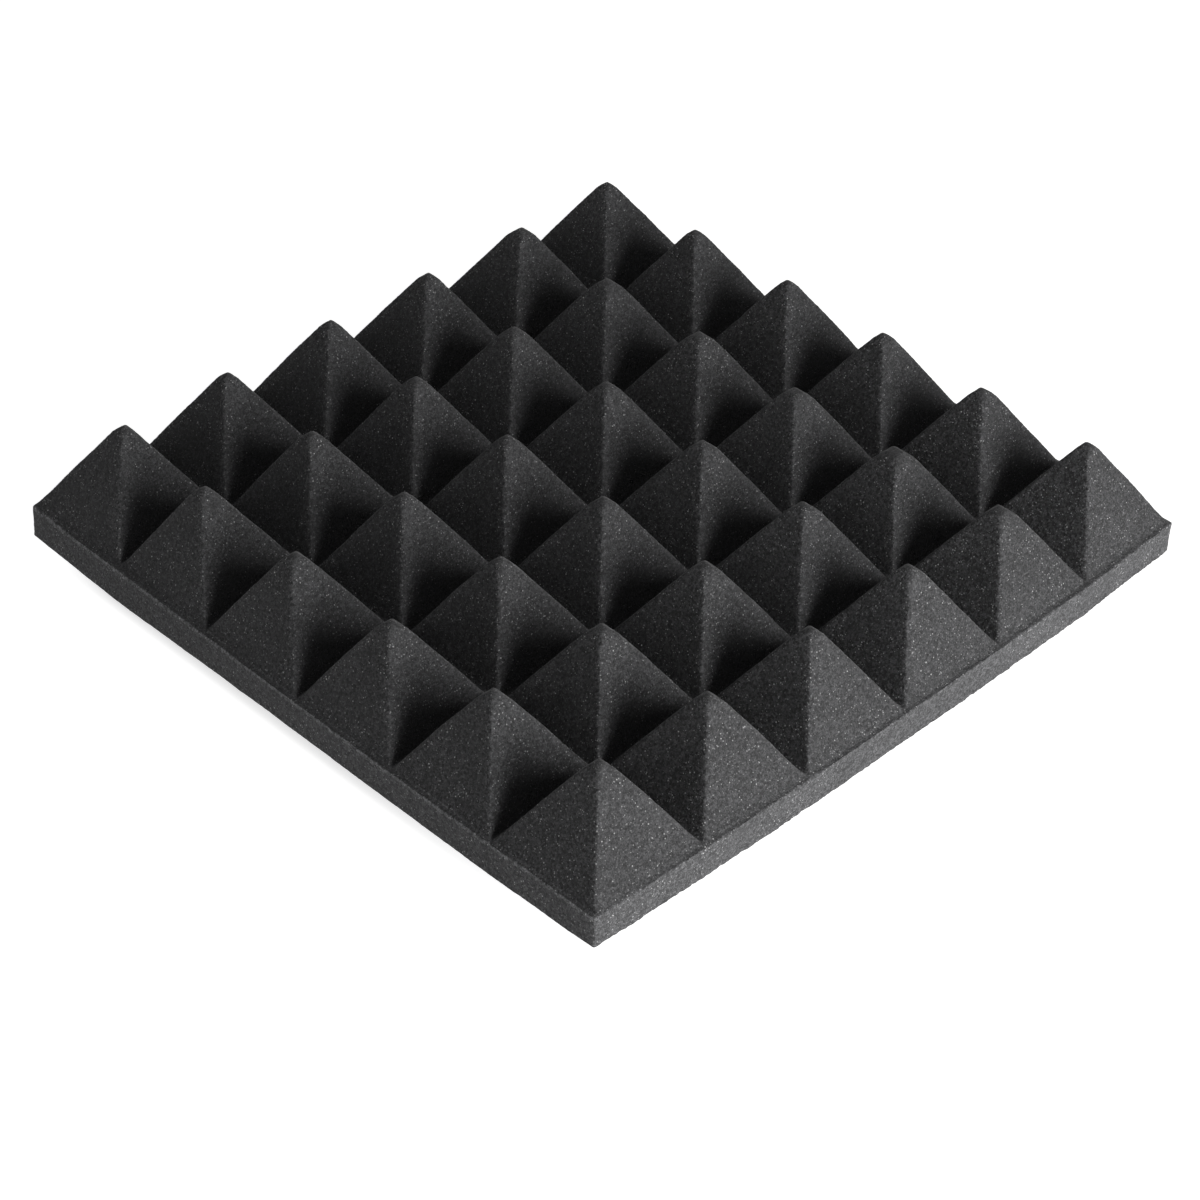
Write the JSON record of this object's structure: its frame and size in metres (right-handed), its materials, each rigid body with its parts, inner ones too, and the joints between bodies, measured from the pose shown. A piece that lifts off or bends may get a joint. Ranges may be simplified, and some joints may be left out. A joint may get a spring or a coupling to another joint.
{
  "type": "acoustic foam panel",
  "caption": "Square wall tile of soft charcoal foam: a flat slab whose front is a field of blunt square pyramids that soften echoes, and whose flat back is glued to a wall.",
  "frame": {"origin": "centre of the flat back face, which is glued to the wall", "axes": "+Z square out of the wall, towards the pyramids' tips; X and Y along the tile's edges"},
  "size_m": [0.3, 0.3, 0.05],
  "materials": {
    "foam": "matte"
  },
  "bodies": {
    "root": {"base_slab": "foam", "pyramid_r1_c1": "foam", "pyramid_r1_c2": "foam", "pyramid_r1_c3": "foam", "pyramid_r1_c4": "foam", "pyramid_r1_c5": "foam", "pyramid_r1_c6": "foam", "pyramid_r2_c1": "foam", "pyramid_r2_c2": "foam", "pyramid_r2_c3": "foam", "pyramid_r2_c4": "foam", "pyramid_r2_c5": "foam", "pyramid_r2_c6": "foam", "pyramid_r3_c1": "foam", "pyramid_r3_c2": "foam", "pyramid_r3_c3": "foam", "pyramid_r3_c4": "foam", "pyramid_r3_c5": "foam", "pyramid_r3_c6": "foam", "pyramid_r4_c1": "foam", "pyramid_r4_c2": "foam", "pyramid_r4_c3": "foam", "pyramid_r4_c4": "foam", "pyramid_r4_c5": "foam", "pyramid_r4_c6": "foam", "pyramid_r5_c1": "foam", "pyramid_r5_c2": "foam", "pyramid_r5_c3": "foam", "pyramid_r5_c4": "foam", "pyramid_r5_c5": "foam", "pyramid_r5_c6": "foam", "pyramid_r6_c1": "foam", "pyramid_r6_c2": "foam", "pyramid_r6_c3": "foam", "pyramid_r6_c4": "foam", "pyramid_r6_c5": "foam", "pyramid_r6_c6": "foam"}
  },
  "joints": []
}
